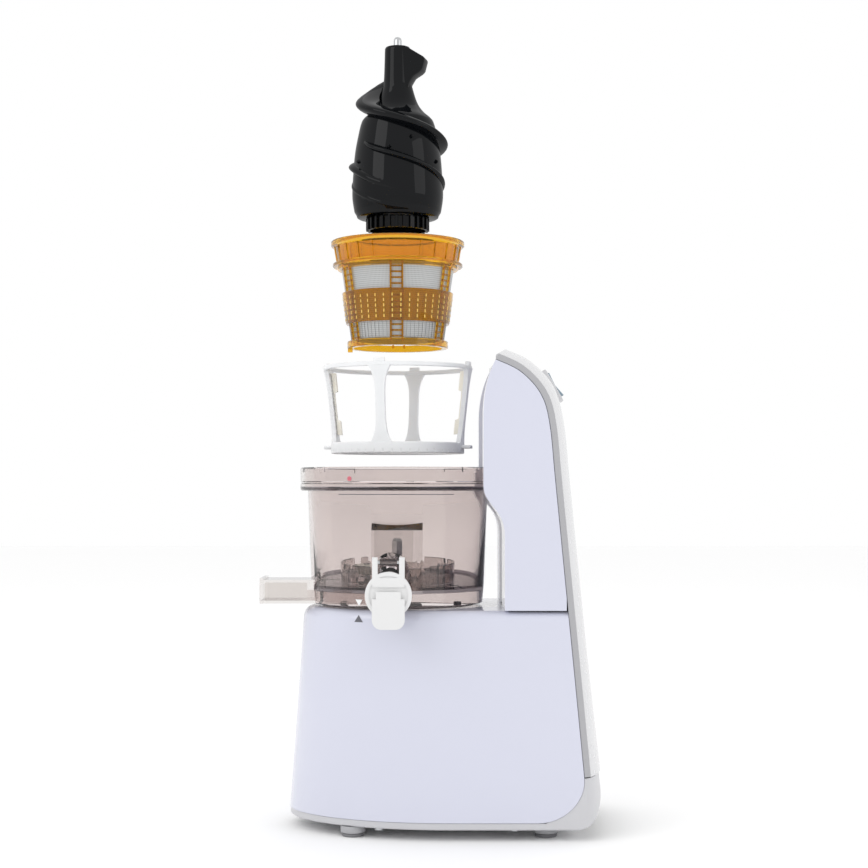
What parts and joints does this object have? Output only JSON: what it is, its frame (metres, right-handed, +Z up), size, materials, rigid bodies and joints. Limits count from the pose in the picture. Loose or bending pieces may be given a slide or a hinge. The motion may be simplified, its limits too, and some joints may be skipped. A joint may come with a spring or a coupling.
{
  "type": "slow juicer",
  "caption": "Upright slow juicer with a tall rear column; auger, strainer and spinning brush stand raised above a clear bowl with a capped juice outlet and a pulp spout.",
  "frame": {"origin": "on the surface it stands on, under the middle of the whole object's box", "axes": "+Z up, -X towards the pulp spout at the front, +X towards the column at the back, -Y towards the side with the juice outlet"},
  "size_m": [0.2512, 0.1729, 0.5838],
  "materials": {
    "lilac_plastic": "smooth satin gloss",
    "white_plastic": "smooth satin gloss",
    "grey_plastic": "fine matte",
    "rubber": "matte",
    "smoke_plastic": "clear, smoke tinted, polished",
    "amber_plastic": "clear amber, polished",
    "black_plastic": "polished",
    "cap_plastic": "satin",
    "brush_plastic": "milky, slightly translucent",
    "switch_plastic": "translucent",
    "silicone": "soft matte",
    "strainer_steel": "fine perforated sheet",
    "steel": "turned",
    "cast_aluminium": "as cast",
    "motor_iron": "laminated sheet",
    "copper": "enamelled wire",
    "nylon": "moulded",
    "circuit_board": "lacquered"
  },
  "bodies": {
    "root": {"base_tray": "grey_plastic", "front_shell": "lilac_plastic", "column_shell": "lilac_plastic", "back_cover": "white_plastic", "trim_band_left": "grey_plastic", "trim_band_right": "grey_plastic", "bowl_seat": "lilac_plastic", "shaft_seal": "rubber", "gearbox_housing": "cast_aluminium", "gearbox_cover": "cast_aluminium", "bearing_output_upper": "steel", "bearing_output_lower": "steel", "layshaft_axle": "steel", "motor_stator": "motor_iron", "winding_top": "copper", "winding_bottom": "copper", "motor_end_cap": "cast_aluminium", "bearing_motor_lower": "steel", "control_board": "circuit_board", "switch_body": "rubber", "switch_harness": "rubber", "switch_bezel": "white_plastic", "cord_gland": "rubber", "foot_front_left": "grey_plastic", "foot_pad_front_left": "rubber", "foot_front_right": "grey_plastic", "foot_pad_front_right": "rubber", "foot_rear_left": "grey_plastic", "foot_pad_rear_left": "rubber", "foot_rear_right": "grey_plastic", "foot_pad_rear_right": "rubber", "tray_screw_1": "steel", "tray_screw_2": "steel", "tray_screw_3": "steel", "tray_screw_4": "steel"},
    "motor": {"motor_rotor": "motor_iron", "motor_shaft": "steel", "cooling_fan": "nylon"},
    "layshaft": {"layshaft_gear": "nylon"},
    "drive": {"output_gear": "nylon", "drive_shaft": "steel"},
    "auger": {"auger_body": "black_plastic", "auger_pin": "steel", "auger_socket": "steel"},
    "bowl": {"bowl_shell": "smoke_plastic", "bowl_seal": "silicone", "idler_pin": "steel", "cap_hinge_pin": "steel"},
    "idler": {"idler_gear": "nylon"},
    "cap": {"cap_lever": "cap_plastic", "cap_seal": "silicone"},
    "strainer": {"strainer_frame": "amber_plastic", "strainer_mesh": "strainer_steel"},
    "brush": {"brush_frame": "brush_plastic", "brush_wiper_left": "silicone", "brush_wiper_right": "silicone"},
    "switch": {"switch_rocker": "switch_plastic"}
  },
  "joints": [
    {"name": "motor_spin", "type": "hinge", "parent": "root", "child": "motor", "pos_m": [-0.009, 0.012, 0.06], "axis": [0, 0, 1], "continuous": true},
    {"name": "layshaft_spin", "type": "hinge", "parent": "root", "child": "layshaft", "pos_m": [0.021, 0.012, 0.11], "axis": [0, 0, 1], "continuous": true},
    {"name": "drive_spin", "type": "hinge", "parent": "root", "child": "drive", "pos_m": [-0.024, 0.012, 0.14], "axis": [0, 0, 1], "continuous": true},
    {"name": "auger_lift", "type": "slide", "parent": "drive", "child": "auger", "axis": [0, 0, 1], "range_m": [-0.262, 0]},
    {"name": "bowl_twist", "type": "hinge", "parent": "root", "child": "bowl", "pos_m": [-0.024, 0.012, 0.17], "axis": [0, 0, 1], "range_deg": [0, 27.69]},
    {"name": "idler_spin", "type": "hinge", "parent": "bowl", "child": "idler", "pos_m": [-0.04789, 0.03388, 0.18], "axis": [0, 0, 1], "continuous": true},
    {"name": "cap_flip", "type": "hinge", "parent": "bowl", "child": "cap", "pos_m": [-0.0284, -0.0815, 0.197], "axis": [-1, 0, 0], "range_deg": [0, 100]},
    {"name": "strainer_lift", "type": "slide", "parent": "bowl", "child": "strainer", "axis": [0, 0, 1], "range_m": [-0.166, 0]},
    {"name": "brush_lift", "type": "slide", "parent": "bowl", "child": "brush", "axis": [0, 0, 1], "range_m": [-0.0973, 0]},
    {"name": "switch_rock", "type": "hinge", "parent": "root", "child": "switch", "pos_m": [0.09009, 0.012, 0.32341], "axis": [0, 1, 0], "range_deg": [-8, 8]}
  ],
  "couplings": [
    {"joint": "layshaft_spin", "follows": "motor_spin", "ratio": -0.25},
    {"joint": "drive_spin", "follows": "motor_spin", "ratio": 0.05},
    {"joint": "idler_spin", "follows": "motor_spin", "ratio": -0.11818},
    {"joint": "strainer_lift", "follows": "auger_lift", "ratio": 0.63359},
    {"joint": "brush_lift", "follows": "auger_lift", "ratio": 0.37137}
  ]
}
